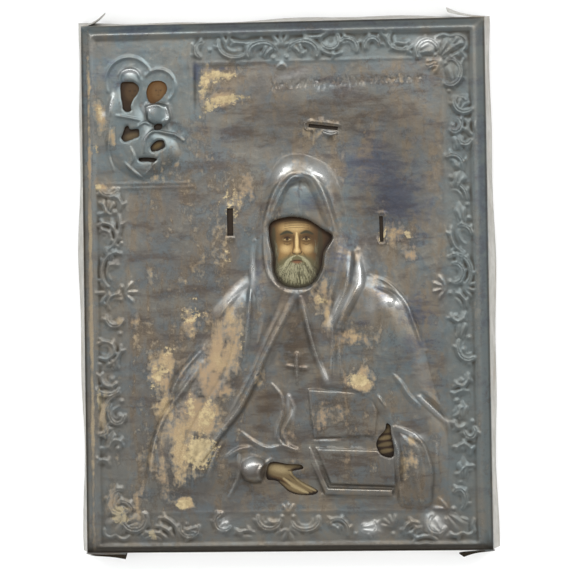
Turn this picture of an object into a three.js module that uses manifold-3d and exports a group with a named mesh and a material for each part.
// Icon panel: a painted wooden board under a chased sheet-metal cover with cut-outs for face and hands.
// Millimetres. The panel lies on its back: +Z is the front, +Y the top of the picture.

import * as THREE from 'three';
import { mergeVertices } from 'three/addons/utils/BufferGeometryUtils.js';
import Module from 'manifold-3d';

// Driving sizes. Places on the picture are measured from the centre of the raised ridge line.
const SHEET = 0.6; // thickness of the cover's metal
const BOARD_DEPTH = 20;
const BOARD_GAP = 0.3; // air between board and metal, which keeps the two pieces apart
const RIDGE = { x: 80.1, top: 107.4, bottom: -107.4 };
const FOLD = { x: 84.9, top: 112, bottom: -110 };
const GROUND_X = 78.8; // the ground of the border starts this far from the centre
const GROUND_INSET = 1.3; // and this far inside the ridge line above and below
const GROUND_Z = BOARD_DEPTH + BOARD_GAP + SHEET;
const RIDGE_Z = GROUND_Z + 1.1;
const FOLD_Z = GROUND_Z - 1.7;
const HOLLOW_AREA = 900; // forms larger than this, in square millimetres, are hollow behind
const BOARD_CHAMFER = { in: 4.2, down: 1.9 };
const WELL_RISE = 8; // round the face and hands the sheet slopes down to the picture, at most this far

// Heights of the drawn lines above whatever they lie on
const LINE_SINK = 0.9; // how deep a line's foot reaches into the form under it
const SCROLL_HEIGHT = 1.5;
const FAN_HEIGHT = 0.9;
const FRAME_LINE = { half: 0.6, height: 0.45 };
const HALO_LINE = { half: 0.6, height: 0.7 };
const TRIM_HEIGHT = 0.6;

// Flanges that are turned down over the board's sides
const FLANGE_BOTTOM_Z = 2.6;
const FLANGE_WAVE_Z = 0.7;
const SPLAY = { left: 4.6, right: 4.2, top: 4, bottom: 1 };
const FLANGE_WAVE = 0.3; // the share of its lean by which a flange waves in and out
const FLANGE_STEPS = 8;
const TAB_TOP_Z = 16.5;
const TAB_ROOT = 0.9; // how far a tab starts outside the fold that it goes round
const TAB_STEPS = 3;

// How finely curves are cut into facets
const OUTLINE_STEP = 5.6;
const SCROLL_STEP = 4.7;
const FOLD_STEP = 9;
const BEAD_SIDES = 5;

const METAL = 0x74776f;
const WOOD = 0x8a6238;

const wasm = await Module();
wasm.setup();

// Solids and geometry

function solidFrom(geometry) {
  const plain = geometry.clone();
  plain.deleteAttribute('normal');
  plain.deleteAttribute('uv');
  const merged = mergeVertices(plain, 1e-4);
  const solid = new wasm.Manifold(new wasm.Mesh({
    numProp: 3,
    vertProperties: new Float32Array(merged.attributes.position.array),
    triVerts: new Uint32Array(merged.index.array),
  }));
  if (solid.volume() < 0) throw new Error('a body is inside out');
  return solid;
}

function geometryFrom(solid) {
  const mesh = solid.getMesh();
  const geometry = new THREE.BufferGeometry();
  geometry.setAttribute('position', new THREE.BufferAttribute(mesh.vertProperties, 3));
  geometry.setIndex(new THREE.BufferAttribute(mesh.triVerts, 1));
  geometry.computeVertexNormals();
  return geometry;
}

function join(solids) {
  while (solids.length > 1) {
    const pairs = [];
    for (let i = 0; i + 1 < solids.length; i += 2) pairs.push(solids[i].add(solids[i + 1]));
    if (solids.length % 2) pairs.push(solids[solids.length - 1]);
    solids = pairs;
  }
  return solids[0];
}

// A closed body from loops of equal length, each joined to the next, with a flat cap at both ends.
function loft(loops) {
  const size = loops[0].length;
  const positions = loops.flat(2);
  const faces = [];
  for (let k = 0; k + 1 < loops.length; k++) {
    for (let i = 0; i < size; i++) {
      const a = k * size + i;
      const b = k * size + (i + 1) % size;
      faces.push(a, b, b + size, a, b + size, a + size);
    }
  }
  const last = (loops.length - 1) * size;
  for (let i = 1; i + 1 < size; i++) {
    faces.push(0, i + 1, i);
    faces.push(last, last + i, last + i + 1);
  }
  const geometry = new THREE.BufferGeometry();
  geometry.setAttribute('position', new THREE.Float32BufferAttribute(positions, 3));
  geometry.setIndex(faces);
  return geometry;
}

function rectangle(halfX, top, bottom, z) {
  return [[-halfX, bottom, z], [halfX, bottom, z], [halfX, top, z], [-halfX, top, z]];
}

// Curves

function vectors(points) {
  return points.map(([x, y]) => new THREE.Vector2(x, y));
}

function smoothOutline(points) {
  const closed = true;
  const curve = new THREE.CatmullRomCurve3(points.map(([x, y]) => new THREE.Vector3(x, y, 0)), closed);
  const count = Math.max(8, Math.round(curve.getLength() / OUTLINE_STEP));
  const outline = curve.getSpacedPoints(count).slice(0, count).map((p) => new THREE.Vector2(p.x, p.y));
  return THREE.ShapeUtils.isClockWise(outline) ? outline.reverse() : outline;
}

function smoothPath(points) {
  const curve = new THREE.SplineCurve(vectors(points));
  return curve.getSpacedPoints(Math.max(2, Math.round(curve.getLength() / FOLD_STEP)));
}

function arcPath(cx, cy, rx, ry, from, to) {
  const sweep = Math.abs(to - from) * Math.PI / 180;
  const steps = Math.max(3, Math.round(sweep * (rx + ry) / 2 / SCROLL_STEP));
  return Array.from({ length: steps + 1 }, (_, i) => {
    const angle = (from + (to - from) * i / steps) * Math.PI / 180;
    return new THREE.Vector2(cx + rx * Math.cos(angle), cy + ry * Math.sin(angle));
  });
}

// Raised forms. A pillow is an outline raised to a height with a rounded edge of the given width.

const PILLOWS = [];

function depthInside(outline, x, y) {
  let inside = false;
  let nearest = Infinity;
  const point = new THREE.Vector2(x, y);
  for (let i = 0; i < outline.length; i++) {
    const a = outline[i];
    const b = outline[(i + 1) % outline.length];
    const along = b.clone().sub(a);
    const t = THREE.MathUtils.clamp(point.clone().sub(a).dot(along) / along.lengthSq(), 0, 1);
    nearest = Math.min(nearest, point.distanceTo(a.clone().addScaledVector(along, t)));
    if ((a.y > y) !== (b.y > y) && x < a.x + (y - a.y) / (b.y - a.y) * (b.x - a.x)) inside = !inside;
  }
  return inside ? nearest : 0;
}

function surfaceHeight(x, y) {
  return PILLOWS.reduce((highest, { outline, height, edge }) => {
    const rise = 1 - Math.min(depthInside(outline, x, y) / edge, 1);
    return Math.max(highest, height * Math.sqrt(1 - rise * rise));
  }, 0);
}

function pillowSolid({ outline, height, edge }, inset = 0) {
  const geometry = new THREE.ExtrudeGeometry(new THREE.Shape(outline), {
    depth: 1,
    bevelThickness: height - inset,
    bevelSize: edge,
    bevelOffset: -edge - inset,
    bevelSegments: inset ? 1 : 2,
  });
  return solidFrom(geometry.translate(0, 0, GROUND_Z - 1));
}

function pillow(outline, height, edge) {
  const form = { outline, height, edge };
  PILLOWS.push(form);
  return form;
}

// A raised, tapering line over whatever lies under it. Half-widths run from the start to the end.
function ridge(path, startWidth, endWidth, height) {
  const last = path.length - 1;
  const loops = path.map((p, i) => {
    const before = path[Math.max(i - 1, 0)];
    const after = path[Math.min(i + 1, last)];
    const side = after.clone().sub(before).normalize().rotateAround(new THREE.Vector2(), Math.PI / 2);
    const swell = 0.75 + 0.25 * Math.sin(Math.PI * i / last);
    const half = swell * THREE.MathUtils.lerp(startWidth, endWidth, i / last);
    const foot = (offset) => {
      const [x, y] = [p.x + side.x * offset, p.y + side.y * offset];
      const floor = surfaceHeight(x, y);
      return [x, y, GROUND_Z + (floor > 0 ? floor - LINE_SINK : 0)];
    };
    const crest = [p.x, p.y, GROUND_Z + surfaceHeight(p.x, p.y) + height * swell];
    return [foot(half), crest, foot(-half)];
  });
  return solidFrom(loft(loops));
}

function bead(x, y, radius) {
  const rings = [[1.1 * radius, 0], [0.55 * radius, 0.9 * radius]];
  const floor = GROUND_Z + surfaceHeight(x, y);
  return solidFrom(loft(rings.map(([r, z]) => Array.from({ length: BEAD_SIDES }, (_, i) => {
    const angle = 2 * Math.PI * i / BEAD_SIDES;
    return [x + r * Math.cos(angle), y + r * Math.sin(angle), floor + z];
  }))));
}

// Lobes that spread from one point, like a palmette or an acanthus leaf.
function fan(x, y, reach, direction, spread, lobes) {
  return Array.from({ length: lobes }, (_, i) => {
    const angle = (direction + spread * (i / (lobes - 1) - 0.5)) * Math.PI / 180;
    const ray = new THREE.Vector2(Math.cos(angle), Math.sin(angle));
    const path = [0.3, 1].map((t) => new THREE.Vector2(x, y).addScaledVector(ray, reach * t));
    return ridge(path, 0.14 * reach, 0.2 * reach, FAN_HEIGHT);
  });
}

// The border. Arcs: centre x and y, radius x and y, start and end angle, start and end half-width.
const TOP_ARCS = [
  [-33.6, 100.5, 2.6, 3, 80, 250, 0.6, 1.3], [-19.5, 103, 7, 5.8, 165, 300, 0.8, 1.2],
  [-16, 109, 8, 6, 230, 300, 0.4, 0.5], [-8, 98.6, 6, 4.6, 15, 190, 0.8, 2.1],
  [9, 98.6, 6, 4.8, 165, -15, 0.8, 2.1], [6, 97.6, 2.6, 2.4, 70, -20, 0.4, 0.4],
  [14, 112, 9, 7.2, 240, 305, 0.4, 0.8], [20.5, 103.5, 3.6, 3.5, 200, 390, 0.6, 1.2],
  [22, 102.7, 6.6, 5.2, 200, 300, 0.7, 0.5], [27.5, 100, 4.2, 4.2, 130, -20, 0.8, 1.2],
  [38, 101, 3, 3.1, -10, 200, 0.7, 1.8], [50.5, 103.4, 5.8, 4.6, 150, 325, 1.1, 0.6],
  [51, 103.2, 2.8, 1.8, 200, 330, 0.6, 0.4], [61, 98, 4.4, 4.6, 15, 205, 1.3, 2],
];
const RIGHT_ARCS = [
  [70.3, 89, 4.4, 5.4, 105, -115, 1, 1.6], [75.8, 76.5, 4.2, 4.3, 160, 310, 1.2, 1.6],
  [77, 79, 1.8, 2, 180, 290, 0.5, 0.5], [71.8, 67, 2.8, 3.1, 60, -130, 0.6, 1.3],
  [84, 66, 6.8, 6, 150, 215, 0.5, 0.8], [76, 61, 2.4, 2.2, 170, 340, 1, 1.4],
  [70.5, 49.5, 4.5, 5, 120, -20, 1.5, 0.7], [71.5, 48, 2, 2, 100, 10, 0.5, 0.5],
  [71, 36, 5.4, 6.3, 100, 0, 0.6, 1.2], [74, 20.8, 4, 4.2, 105, 10, 0.9, 1.1],
  [77, 22, 7.6, 9, 165, 250, 0.6, 0.9], [71.5, 5.5, 6, 7.2, 120, -35, 0.9, 1.1],
  [70.8, 5, 3.4, 4.1, 95, -90, 1, 1.2], [70, -9, 5.4, 6, 75, 0, 0.7, 0.9],
  [71.8, -11.5, 2.9, 3.4, 190, 360, 0.8, 0.7], [75.8, -25.7, 4.3, 5.2, 150, 300, 0.9, 1.5],
  [72.8, -38, 2.9, 3.7, 215, 380, 0.9, 0.6], [73.5, -46.4, 4, 2.7, 165, 60, 0.8, 0.5],
  [68.5, -50.5, 3.7, 4, 10, -70, 0.5, 0.8], [71.8, -56.8, 2.2, 2.4, 170, 330, 1, 1],
  [76, -60.6, 2.3, 2.6, 180, 390, 0.8, 1.3], [73.2, -69, 3, 3.2, 175, -25, 0.7, 0.8],
  [76, -79, 4.6, 4.2, 190, 75, 0.8, 0.7], [71, -88.8, 2.9, 4.3, 130, -60, 1.3, 0.9],
];
const BOTTOM_ARCS = [
  [61.8, -98.5, 3.7, 3.8, 125, 330, 1.9, 1], [69.3, -101.8, 2.2, 1.8, 200, 340, 0.9, 0.9],
  [57, -110, 7, 6.2, 140, 50, 0.4, 0.5], [52, -102, 4, 4.1, 195, 60, 0.9, 0.6],
  [55, -103.5, 3.8, 3.3, 180, 85, 0.5, 0.4], [33.6, -99.6, 3, 2.6, 40, -130, 1.2, 0.4],
  [20.3, -101.4, 4.6, 5, 140, -20, 0.7, 1.1], [18.6, -102.3, 2.6, 2.8, 120, 0, 0.4, 0.4],
  [7, -96.8, 5.6, 4.1, 195, 370, 0.7, 1.5], [-8, -96.2, 4.8, 4.1, 165, 350, 1.1, 1],
  [-6.2, -95.8, 2.2, 2, 200, 330, 0.6, 0.6], [-27, -97.3, 3.4, 3.4, 110, 320, 1.7, 0.7],
  [-18, -107, 8, 6, 125, 60, 0.4, 0.4], [-41.5, -99.5, 4, 3.8, 175, 365, 0.6, 1.1],
  [-42, -98.8, 1.6, 1.8, 220, 340, 0.6, 0.6], [-53, -103, 6.8, 7.6, 100, 0, 0.6, 0.9],
  [-55.5, -105.5, 7.3, 6.8, 88, 20, 0.8, 0.7], [-57, -105.6, 6, 4.4, 140, 25, 0.5, 0.8],
  [-64.5, -96, 4.8, 4.4, 120, 385, 1, 1.9], [-70, -93.6, 5.2, 5.4, 100, 20, 1.3, 0.9],
];
const LEFT_ARCS = [
  [-70.5, -88.5, 4.6, 5.2, 80, 270, 1.2, 0.9], [-77.2, -73.5, 2.5, 2.8, 150, 0, 0.6, 0.8],
  [-71.7, -65.8, 2.9, 3.2, 200, 10, 0.6, 0.6], [-77.8, -57.5, 2.6, 2.8, 10, -110, 0.8, 1.2],
  [-69.5, -56, 8.3, 13, 95, 170, 0.7, 1.1], [-71.2, -51, 3.5, 4.8, 140, 340, 0.7, 1.2],
  [-75, -40, 4.8, 3.6, 200, 340, 1.2, 0.7], [-74.2, -36.5, 3.5, 3.7, 150, 320, 0.8, 1],
  [-77, -23, 7.8, 8.4, 0, -75, 0.5, 0.9], [-76, -25, 3.9, 3.7, 130, -120, 0.7, 0.9],
  [-71.8, -11.3, 3.5, 3.6, 170, 340, 0.7, 1.2], [-71, -5.6, 3.6, 4, 60, 215, 0.8, 0.7],
  [-71, 8, 6, 8, 70, 235, 0.9, 0.7], [-72.5, 7.5, 2.4, 3.4, 60, 150, 0.7, 0.4],
  [-77, 28, 8, 11.4, 20, -75, 0.5, 0.9], [-75.5, 22.5, 4.9, 6, 120, -40, 1, 0.7],
  [-76, 22, 3, 3.4, 120, -50, 0.6, 0.5], [-71.5, 35.8, 3.2, 3.7, 130, -30, 0.8, 0.7],
  [-71, 37, 4.8, 5.6, 170, 245, 0.5, 0.6], [-73.5, 44, 4.3, 3.9, 190, 340, 1.1, 0.6],
];
// Beads: centre x and y, radius.
const BORDER_BEADS = [
  [-30, 100.4, 0.9], [-3.6, 96.6, 1], [2, 96.8, 1], [53.8, 97.5, 0.9], [64.2, 96.3, 1.1], [68.5, 92.6, 1.3],
  [71, 86.2, 1.2], [69.6, 81, 0.8], [70.9, 66.7, 1], [76.8, 57, 1], [70, 45, 1.3], [76.4, 33.6, 1],
  [77, 28, 1.1], [73.2, 28.8, 0.8], [68.7, 1.5, 1.2], [68.7, -3.2, 1.2], [71, -12.7, 1.2],
  [76.3, -21.7, 1.3], [73.9, -26.8, 1.5], [76, -32.8, 1.2], [72.7, -39.2, 1.1], [70.6, -47.8, 1.4],
  [77, -56.5, 1], [72.8, -68.1, 0.9], [71.5, -81.6, 0.8], [68.6, -92.7, 1.3], [65.4, -97, 1.1],
  [43.5, -102.8, 1], [28, -102.6, 0.8], [2, -95.3, 1.1], [-2.7, -95.3, 1.1], [-20.3, -102.2, 1.7],
  [-26, -97.8, 1], [-42.6, -98, 0.8], [-65.5, -95.5, 1.3], [-69.6, -91, 1.3], [-70, -82.9, 1.5],
  [-71, -66.2, 1.5], [-78, -66, 0.9], [-70, -52.7, 1.7], [-69.3, -46.4, 1.3], [-73.3, -37, 1.6],
  [-78.3, -30.8, 0.8], [-69.6, -18, 1.2], [-69.8, -12.7, 1.4], [-69.2, -3.8, 1.2], [-68.7, 1.5, 1.3],
  [-70.5, 10.8, 1.3], [-68.5, 19.8, 0.9], [-77.4, 32.4, 1.2], [-71.3, 33, 1.6], [-75.9, 42.4, 1.4],
];
// Fans: centre x and y, reach, direction, spread, number of lobes.
const BORDER_FANS = [
  [-23, 101.8, 5, 95, 40, 2], [-0.3, 101, 5.4, 90, 130, 5], [0, 95, 4.6, -90, 60, 3],
  [43.5, 104, 3, 110, 50, 2], [69, 97, 8.6, 45, 100, 3], [67, 94.5, 6, 215, 55, 3],
  [67, -0.8, 5.2, 180, 120, 4], [73.8, -0.8, 5, 0, 100, 4], [70, -96.6, 8.2, -45, 100, 3],
  [66.4, -92.6, 5.6, 155, 45, 2], [44, -100.6, 5.4, 125, 80, 4], [-0.3, -100.2, 4.8, -90, 130, 4],
  [0, -94.4, 4.4, 90, 60, 3], [-70.6, -96.8, 9, 225, 110, 4], [-67.6, -0.8, 5.2, 0, 100, 3],
  [-74.4, -0.8, 5, 180, 110, 3],
];

function border() {
  const arcs = [...TOP_ARCS, ...RIGHT_ARCS, ...BOTTOM_ARCS, ...LEFT_ARCS];
  const scrolls = arcs.map(([cx, cy, rx, ry, from, to, start, end]) => {
    return ridge(arcPath(cx, cy, rx, ry, from, to), start, end, SCROLL_HEIGHT);
  });
  const beads = BORDER_BEADS.map(([x, y, radius]) => bead(x, y, radius));
  const fans = BORDER_FANS.map((row) => fan(...row)).flat();
  return [...scrolls, ...beads, ...fans];
}

// Raised lines that part the field from the border and from the small picture's compartment.
function frameLines() {
  const lines = [
    [[67.2, 94.6], [67.2, 5]], [[67.2, -7], [67.2, -93]], [[-37, 95.2], [67.2, 95.2]],
    [[-37, 95.2], [-37, 44]],
    [[-80, 44], [-37, 44]], [[-66, 40], [-66, -93.2]], [[-66, -93.2], [67.2, -93.2]],
  ];
  const { half, height } = FRAME_LINE;
  return lines.map((line) => ridge(vectors(line), half, half, height));
}

// The half-length figure in mantle and hood
const MANTLE = [
  [-16.5, 0], [-20, -2], [-28, -10.5], [-33, -18.5], [-40, -28], [-48.4, -38.5], [-49.2, -46.5],
  [-54.5, -56.5], [-58.6, -70], [-60, -84], [-59, -91.5], [-20, -92.4], [30, -92.4], [64, -92.2],
  [66.6, -80], [66.4, -60], [61, -40], [57.5, -25], [52.5, -11], [48, -3.5], [40, 2.3], [30, 7], [0, 8],
];
const HOOD = [
  [3, 56], [8, 56], [15, 53.4], [20, 50], [24, 40], [27, 26], [30.5, 14], [34.8, 3], [34.2, -3], [28.5, -13],
  [24.4, -18], [23.2, -28], [23.4, -38], [18.6, -38], [17.6, -20], [12, -7], [5, -2], [-2, -15], [-12, -31],
  [-17, -31], [-15.6, -18], [-16, -3], [-13, 12], [-11, 28], [-7.5, 43], [-2, 53.6],
];
const SLEEVE_RIGHT = [
  [45.2, -58.6], [52, -60.6], [57.8, -65.5], [60, -73], [60.4, -84], [58.8, -91.4], [46.6, -91], [46, -76],
];
const SLEEVE_LEFT = [[-8.5, -71.5], [-14, -69.2], [-19.8, -72], [-20.6, -76], [-18, -80.4], [-10.8, -81]];
const BOOK_UPPER = [[8, -41.4], [35.5, -43.4], [38.5, -52], [37.5, -62.6], [10.4, -63.4]];
const BOOK_LOWER = [[10.6, -66], [37.4, -67], [45.6, -70], [45.2, -83.4], [17.6, -82.2]];
const BOOK_COVER = [[8, -64.6], [10.2, -66], [17.2, -83], [44, -84], [43.8, -87.4], [15.4, -86.4], [9, -73]];

// Fold lines: half-width at the start and the end, height, then the points they pass through.
const FOLDS = [
  [1.1, 1.4, 1.1, [[5.5, -3], [-2, -17], [-10, -31], [-20, -48], [-28, -59.5], [-36, -69], [-38.4, -80]]],
  [0.9, 0.9, 0.8, [[3, -12], [-4, -25], [-14, -42.5], [-25, -57], [-34, -71], [-36, -78]]],
  [0.8, 0.7, 0.7, [[-27, -64], [-31, -71], [-33.5, -79]]],
  [0.9, 1.5, 1.1, [[6.5, -4], [10, -20], [12.5, -29], [16.2, -38]]],
  [0.7, 0.8, 0.6, [[8, -4], [12, -19], [15, -31]]],
  [1, 1.3, 1.2, [[25, 10], [24, -1], [21, -9], [18.6, -16], [18.4, -30]]],
  [1, 1.1, 1.2, [[30, 10], [28.5, -4], [22.3, -16], [22, -32]]],
  [1, 1.2, 1, [[28.6, 20], [32.6, 10], [33.4, 1], [29, -9]]],
  [1, 1, 1, [[-13.5, 14], [-14.4, 0], [-15, -15], [-16.6, -30]]],
  [1.5, 0.8, 0.7, [[-17, -1], [-23, -7], [-30, -16]]],
  [1.1, 1.1, 0.9, [[-37, -26], [-44.6, -34.6], [-47.8, -43]]],
  [1, 1.2, 0.8, [[-35, -31], [-43, -42], [-51, -52], [-56, -66], [-57.8, -86]]],
  [1.4, 1, 0.9, [[-24, -69.5], [-20, -67], [-16, -66.8]]],
  [0.8, 0.6, 0.6, [[-20.5, -67], [-20.6, -78], [-24, -86]]],
  [1.2, 1.2, 0.9, [[37, 4], [45, -0.7], [49.6, -6]]],
  [1.6, 0.8, 0.8, [[57, -46], [64.5, -55]]],
  [0.8, 0.8, 0.6, [[46, -36], [52, -44], [58, -48]]],
  [0.9, 1.2, 1, [[45.4, -58.8], [54, -62], [58, -68], [59.2, -80], [59, -88]]],
  [0.7, 0.7, 0.5, [[61.8, -68], [62.2, -82]]],
  [0.7, 0.7, 0.5, [[53.6, -81], [56, -91]]],
  [0.8, 0.8, 0.8, [[38, -44], [41, -49.6]]],
];
const HOOD_RIM = [
  [-8.6, 25], [-5.5, 30.5], [-3, 37], [-0.8, 43.4], [3.4, 46.8], [8, 47.8], [12.4, 45.8], [15.4, 40],
  [18.4, 32], [20.8, 22.5],
];
const OUTER_RIM = [[-7, 36], [-4.6, 45], [-1, 51], [5, 53.4], [11, 52.6], [16.4, 49], [20, 40], [23, 28]];
// Cross and chain, the ribbon's strands beside the book, and the cuff round the right hand
const TRIMS = [
  [0.6, 0.6, [[4.7, -28.5], [4.7, -39.5]]],
  [0.6, 0.6, [[0.4, -32.7], [8.6, -33.6]]],
  [0.4, 0.4, [[0.4, -27.4], [4.6, -28.6], [8.8, -27.4]]],
  [0.6, 0.9, [[-6, -40], [-2.4, -45], [-1.6, -52], [-4, -59], [-3.6, -63.4], [3.4, -68]]],
  [0.9, 0.9, [[1, -45], [2.8, -51], [0.4, -56], [-1.6, -60.4], [0, -65], [4, -67.4]]],
  [1, 1, [[-6.2, -71.6], [-10, -73.6], [-11.4, -77.4], [-9.8, -81.2]]],
];

function figureForms() {
  return [
    pillow(smoothOutline(MANTLE), 2.8, 3.2),
    pillow(smoothOutline(HOOD), 4.2, 1.8),
    pillow(smoothOutline(SLEEVE_RIGHT), 4, 2),
    pillow(smoothOutline(SLEEVE_LEFT), 4.6, 2.6),
    pillow(vectors(BOOK_UPPER).reverse(), 3.5, 0.8),
    pillow(vectors(BOOK_LOWER).reverse(), 3.5, 0.8),
    pillow(vectors(BOOK_COVER), 3.1, 0.5),
  ];
}

function figureFolds() {
  const folds = FOLDS.map(([start, end, height, points]) => ridge(smoothPath(points), start, end, height));
  const rims = [ridge(smoothPath(HOOD_RIM), 1, 1, 1), ridge(smoothPath(OUTER_RIM), 1.1, 0.8, 0.7)];
  const trims = TRIMS.map(([start, end, points]) => ridge(smoothPath(points), start, end, TRIM_HEIGHT));
  return [...folds, ...rims, ...trims];
}

// The small Mother and Child in the upper left corner
const MOTHER = [
  [-64.5, 93.6], [-59.4, 90.5], [-58.4, 84], [-60, 77], [-55, 70], [-51, 64], [-45, 60.4], [-47, 54.4],
  [-58.8, 46.6], [-67, 50], [-72.4, 58], [-77.4, 66], [-76, 74.6], [-71.6, 79], [-69.4, 88],
];
const CHILD = [[-57.6, 77], [-52, 79], [-48, 77], [-46.8, 70.6], [-52, 66.4], [-57, 70]];
const SMALL_FOLDS = [
  [[-72.4, 74], [-73.4, 64], [-71.6, 52], [-70, 46.4]], [[-68, 60], [-63.6, 51.4], [-59, 47.4]],
  [[-52.6, 57], [-56, 51], [-58.6, 48.4]], [[-60, 69], [-56.6, 70.6], [-55, 67.6]],
  [[-58.6, 62.4], [-56, 65.6], [-50, 66.4], [-42.6, 63]], [[-71.4, 81], [-72.4, 76.6], [-71.6, 72]],
];

function smallForms() {
  return [pillow(smoothOutline(MOTHER), 2, 1.8), pillow(smoothOutline(CHILD), 3, 1.2)];
}

function smallLines() {
  const { half, height } = HALO_LINE;
  const haloes = [
    ridge(arcPath(-64.4, 88.4, 8.8, 9.4, 15, 205), half, half, height),
    ridge(arcPath(-52.6, 84.6, 6.8, 7, 130, -40), half, half, height),
  ];
  return [...haloes, ...SMALL_FOLDS.map((points) => ridge(smoothPath(points), 0.8, 0.7, 0.6))];
}

// Openings through the metal, where the painting or the bare board shows
const FACE_OPENING = [
  [-5.8, 27], [1, 29.6], [9, 28.8], [16, 24.5], [20, 21.2], [16.5, 15], [15.2, 8], [11, 1.3], [5.5, -0.1],
  [-1, 1.4], [-4.3, 6.5], [-4.8, 14], [-6.3, 22],
];
const RIGHT_HAND_OPENING = [
  [-7.4, -72.7], [0, -73.2], [6, -73.9], [6.6, -75.2], [2, -76.6], [5, -80], [12.5, -84.8], [11.6, -86],
  [4.5, -86.3], [0, -84.7], [-4.6, -80.5], [-8.7, -79.5],
];
const LEFT_HAND_OPENING = [
  [41.6, -56.8], [42.9, -57.6], [43.3, -61], [44.4, -69], [43.6, -71], [39, -69.9], [37, -65.6],
  [38.2, -62.4],
  [40.7, -59.6],
];
const SMALL_OPENINGS = [
  [[-67.5, 87], [-61.5, 87.2], [-60, 85], [-63.6, 75.4], [-66.4, 75], [-67.5, 80]],
  [[-57.2, 83.5], [-55, 87.5], [-50, 87.6], [-48.3, 84.5], [-52, 79.4], [-55.6, 78.6]],
  [[-68, 63.6], [-65.4, 69], [-60.3, 67.2], [-60.2, 64.4], [-67, 62.2]],
  [[-54.3, 68.8], [-52.6, 70], [-50.5, 69.4], [-51, 67.7], [-53.8, 67.3]],
  [[-55.7, 60], [-53, 62.8], [-50.3, 62.8], [-49.6, 60], [-55, 58.2]],
  [[-60.8, 55.4], [-57, 55.8], [-53, 55], [-54, 53.8], [-57, 54], [-60.4, 54.2]],
];
// The slots that once held a halo: centre x and y, half-length, half-width, turn
const HALO_SLOTS = [[-22.6, 28, 5.8, 1.3, 90], [17.6, 67.3, 6.1, 0.5, -10], [40.6, 24, 5.4, 0.8, 91]];

function slotOutline([x, y, halfLength, halfWidth, turn]) {
  const centre = new THREE.Vector2(x, y);
  return [[-1, -1], [1, -1], [1, 1], [-1, 1]].map(([along, across]) => {
    const corner = new THREE.Vector2(x + along * halfLength, y + across * halfWidth);
    return corner.rotateAround(centre, THREE.MathUtils.degToRad(turn));
  });
}

function openings() {
  const smooth = [FACE_OPENING, RIGHT_HAND_OPENING, LEFT_HAND_OPENING, ...SMALL_OPENINGS].map(smoothOutline);
  const outlines = [...smooth, ...HALO_SLOTS.map(slotOutline)];
  return outlines.map((outline) => {
    const cutter = new THREE.ExtrudeGeometry(new THREE.Shape(outline), { depth: 20, bevelEnabled: false });
    return solidFrom(cutter.translate(0, 0, BOARD_DEPTH - 2));
  });
}

// The sheet's slope down to an opening: a cutter that widens upwards. The drop lowers it for the underside.
function well(points, widen, drop) {
  const outline = smoothOutline(points);
  const centre = outline.reduce((sum, p) => sum.add(p), new THREE.Vector2()).divideScalar(outline.length);
  const loop = (scale, z) => outline.map((p) => {
    const out = p.clone().sub(centre).multiplyScalar(scale).add(centre);
    return [out.x, out.y, z];
  });
  return solidFrom(loft([loop(1, GROUND_Z - drop), loop(widen, GROUND_Z + WELL_RISE - drop)]));
}

function wells(drop) {
  return join([
    well(FACE_OPENING, 1.5, drop), well(RIGHT_HAND_OPENING, 1.6, drop), well(LEFT_HAND_OPENING, 1.8, drop),
  ]);
}

// Lips of metal left standing beside the slots
function slotLips() {
  return [
    ridge(vectors([[11, 66.4], [10.8, 68.2], [13, 69.4]]), 0.5, 0.5, 0.7),
    ridge(vectors([[17, 65.6], [19.6, 64.4], [22.6, 65]]), 0.9, 0.7, 1.2),
    ridge(vectors([[42.2, 21.4], [42.2, 18.4], [40.4, 18]]), 0.6, 0.5, 0.8),
    ridge(vectors([[-24, 21.2], [-21, 21.2]]), 0.6, 0.5, 0.7),
  ];
}

// The sheet: a tray with bevelled edges. The drop moves the same shape down for the underside.
function trayBody(drop) {
  return solidFrom(loft([
    rectangle(FOLD.x - drop, FOLD.top - drop, FOLD.bottom + drop, FLANGE_BOTTOM_Z),
    rectangle(FOLD.x - drop, FOLD.top - drop, FOLD.bottom + drop, FOLD_Z - drop),
    rectangle(RIDGE.x, RIDGE.top, RIDGE.bottom, RIDGE_Z - drop),
    rectangle(RIDGE.x - 0.5, RIDGE.top - 0.5, RIDGE.bottom + 0.5, RIDGE_Z - drop),
    rectangle(GROUND_X, RIDGE.top - GROUND_INSET, RIDGE.bottom + GROUND_INSET, GROUND_Z - drop),
  ]));
}

// One turned-down flange: along runs from 0 to 1, and splay gives how far its lower edge stands out.
function flange(start, end, outward, splay) {
  const loops = Array.from({ length: FLANGE_STEPS + 1 }, (_, i) => {
    const along = i / FLANGE_STEPS;
    const wave = Math.sin(9 * along + outward[0]) * 0.5 + Math.sin(23 * along) * 0.25;
    const lean = splay * (1 + FLANGE_WAVE * wave);
    const bottom = FLANGE_BOTTOM_Z + FLANGE_WAVE_Z * wave;
    const middle = (FOLD_Z + bottom) / 2;
    const at = (out, z) => [
      THREE.MathUtils.lerp(start[0], end[0], along) + outward[0] * out,
      THREE.MathUtils.lerp(start[1], end[1], along) + outward[1] * out,
      z,
    ];
    return [
      at(0, FOLD_Z), at(0.3 * lean, middle), at(lean, bottom),
      at(lean - SHEET, bottom), at(0.3 * lean - SHEET, middle), at(-SHEET, FOLD_Z),
    ];
  });
  return solidFrom(loft(loops.reverse()));
}

function flanges() {
  const { x, top, bottom } = FOLD;
  return [
    flange([-x, bottom - 0.7], [-x, top + 0.7], [-1, 0], SPLAY.left),
    flange([x, top + 0.7], [x, bottom - 0.7], [1, 0], SPLAY.right),
    flange([-x, top], [x, top], [0, 1], SPLAY.top),
    flange([x, bottom], [-x, bottom], [0, -1], SPLAY.bottom),
  ];
}

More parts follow.
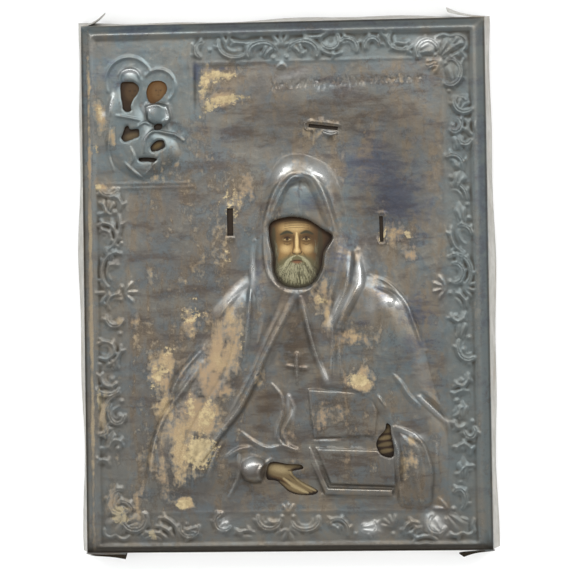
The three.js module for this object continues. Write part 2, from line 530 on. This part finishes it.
// The side flanges' ends run round the corners as tabs, whose free ends have sprung away.
const TABS = [
  { x: -FOLD.x, y: FOLD.top, toward: 1, out: 1, length: 8, spring: 4.2, lean: 3.6 },
  { x: FOLD.x, y: FOLD.top, toward: -1, out: 1, length: 15, spring: 3, lean: 3.6 },
  { x: -FOLD.x, y: FOLD.bottom, toward: 1, out: -1, length: 16, spring: 3.6, lean: 0.6 },
  { x: FOLD.x, y: FOLD.bottom, toward: -1, out: -1, length: 14, spring: 3.9, lean: 0.6 },
];

function tab({ x, y, toward, out, length, spring, lean: fullLean }) {
  const loops = Array.from({ length: TAB_STEPS + 1 }, (_, i) => {
    const along = i / TAB_STEPS;
    const away = 0.1 + spring * along * along;
    const lean = fullLean * (0.7 + 0.3 * along);
    const run = (length + TAB_ROOT) * along - TAB_ROOT;
    const at = (offset, z) => [x + toward * run, y + out * (away + offset), z];
    const low = FLANGE_BOTTOM_Z + 1;
    return [at(lean, low), at(lean + SHEET, low), at(SHEET, TAB_TOP_Z), at(0, TAB_TOP_Z)];
  });
  return solidFrom(loft(toward * out > 0 ? loops : loops.reverse()));
}

function cover() {
  const forms = [...figureForms(), ...smallForms()];
  const raised = join([
    ...forms.map((form) => pillowSolid(form)), ...figureFolds(), ...smallLines(), ...frameLines(),
    ...border(), ...slotLips(),
  ]);
  const above = new THREE.BoxGeometry(2 * GROUND_X, 2 * RIDGE.top, 20).translate(0, 0, GROUND_Z - SHEET + 10);
  const relief = raised.intersect(solidFrom(above));
  const metal = join([trayBody(0), relief.subtract(wells(0))]);
  const large = forms.filter(({ outline }) => THREE.ShapeUtils.area(outline) > HOLLOW_AREA);
  const behind = join(large.map((form) => pillowSolid(form, SHEET))).subtract(wells(SHEET));
  const hollow = join([trayBody(SHEET), behind, ...openings()]);
  return join([metal.subtract(hollow), ...flanges(), ...TABS.map(tab)]);
}

function board() {
  const margin = SHEET + BOARD_GAP;
  const [halfX, top, bottom] = [FOLD.x - margin, FOLD.top - margin, FOLD.bottom + margin];
  const { in: inset, down } = BOARD_CHAMFER;
  return solidFrom(loft([
    rectangle(halfX - 1, top - 1, bottom + 1, 0),
    rectangle(halfX, top, bottom, 1),
    rectangle(halfX, top, bottom, BOARD_DEPTH - down),
    rectangle(halfX - inset, top - inset, bottom + inset, BOARD_DEPTH),
  ]));
}

function piece(name, solid, material) {
  const mesh = new THREE.Mesh(geometryFrom(solid), material);
  mesh.name = name;
  return mesh;
}

const metalFinish = new THREE.MeshStandardMaterial({ color: METAL, roughness: 0.42, metalness: 0.9 });
const woodFinish = new THREE.MeshStandardMaterial({ color: WOOD, roughness: 0.75, metalness: 0 });

const panel = new THREE.Group();
panel.add(piece('painted_board', board(), woodFinish));
panel.add(piece('metal_cover', cover(), metalFinish));

// The origin is the middle of the back, under the centre of everything that shows from the front.
const middle = new THREE.Box3().setFromObject(panel).getCenter(new THREE.Vector3());
panel.position.set(-middle.x, -middle.y, 0);

export default panel;
